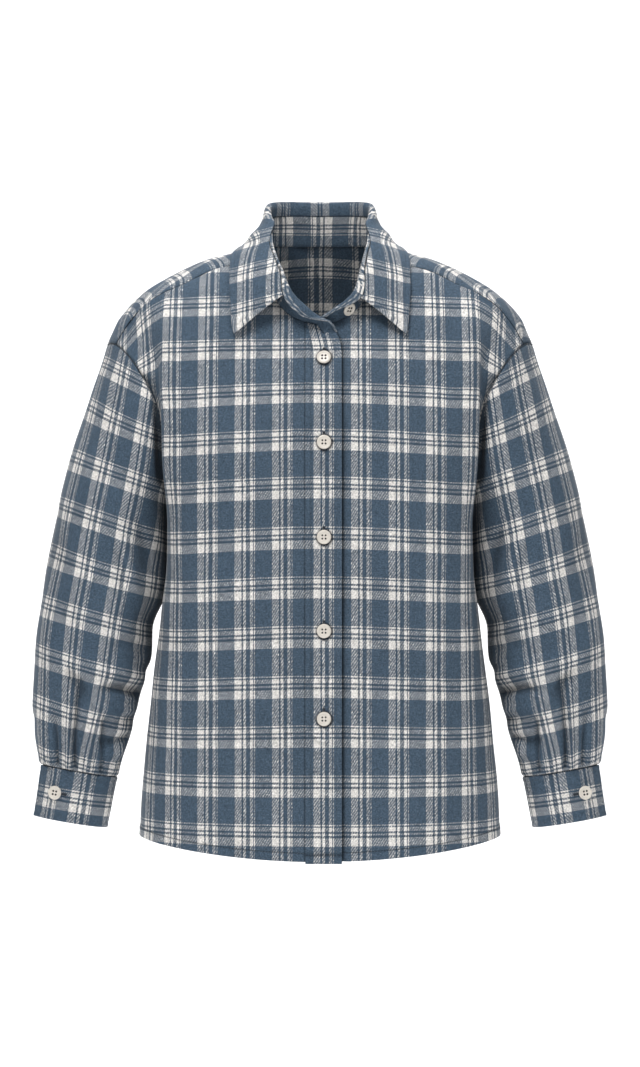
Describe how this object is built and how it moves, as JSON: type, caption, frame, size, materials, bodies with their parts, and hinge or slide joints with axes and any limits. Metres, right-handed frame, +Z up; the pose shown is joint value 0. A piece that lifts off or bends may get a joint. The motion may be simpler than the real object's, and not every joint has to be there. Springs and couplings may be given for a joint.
{
  "type": "overshirt",
  "caption": "Long-sleeved button-front overshirt in check flannel, filled out and hollow, with an open pointed collar, yoke, dropped shoulders and buttoned cuffs.",
  "frame": {"origin": "middle of the neck, level with the shoulder seams, where the shirt hangs on its wearer's shoulders", "axes": "+X towards the wearer's left sleeve, -Y the buttoned front, +Z up through the collar"},
  "size_m": [0.6284, 0.2397, 0.7219],
  "materials": {
    "back": "brushed cotton flannel twill in a blue-grey, off-white and navy check",
    "button_cuff_left": "off-white, moulded rim, four holes",
    "button_cuff_right": "off-white, moulded rim, four holes",
    "button_front_1": "off-white, moulded rim, four holes",
    "button_front_2": "off-white, moulded rim, four holes",
    "button_front_3": "off-white, moulded rim, four holes",
    "button_front_4": "off-white, moulded rim, four holes",
    "button_front_5": "off-white, moulded rim, four holes",
    "button_stand": "off-white, moulded rim, four holes",
    "collar_leaf": "brushed cotton flannel twill in a blue-grey, off-white and navy check",
    "collar_stand": "brushed cotton flannel twill in a blue-grey, off-white and navy check",
    "cuff_left": "brushed cotton flannel twill in a blue-grey, off-white and navy check",
    "cuff_right": "brushed cotton flannel twill in a blue-grey, off-white and navy check",
    "front_left": "brushed cotton flannel twill in a blue-grey, off-white and navy check",
    "front_placket": "brushed cotton flannel twill in a blue-grey, off-white and navy check",
    "front_right": "brushed cotton flannel twill in a blue-grey, off-white and navy check",
    "sleeve_left": "brushed cotton flannel twill in a blue-grey, off-white and navy check",
    "sleeve_right": "brushed cotton flannel twill in a blue-grey, off-white and navy check",
    "yoke": "brushed cotton flannel twill in a blue-grey, off-white and navy check"
  },
  "bodies": {
    "root": {"back": "back", "button_cuff_left": "button_cuff_left", "button_cuff_right": "button_cuff_right", "button_front_1": "button_front_1", "button_front_2": "button_front_2", "button_front_3": "button_front_3", "button_front_4": "button_front_4", "button_front_5": "button_front_5", "button_stand": "button_stand", "collar_leaf": "collar_leaf", "collar_stand": "collar_stand", "cuff_left": "cuff_left", "cuff_right": "cuff_right", "front_left": "front_left", "front_placket": "front_placket", "front_right": "front_right", "sleeve_left": "sleeve_left", "sleeve_right": "sleeve_right", "yoke": "yoke"}
  },
  "joints": []
}
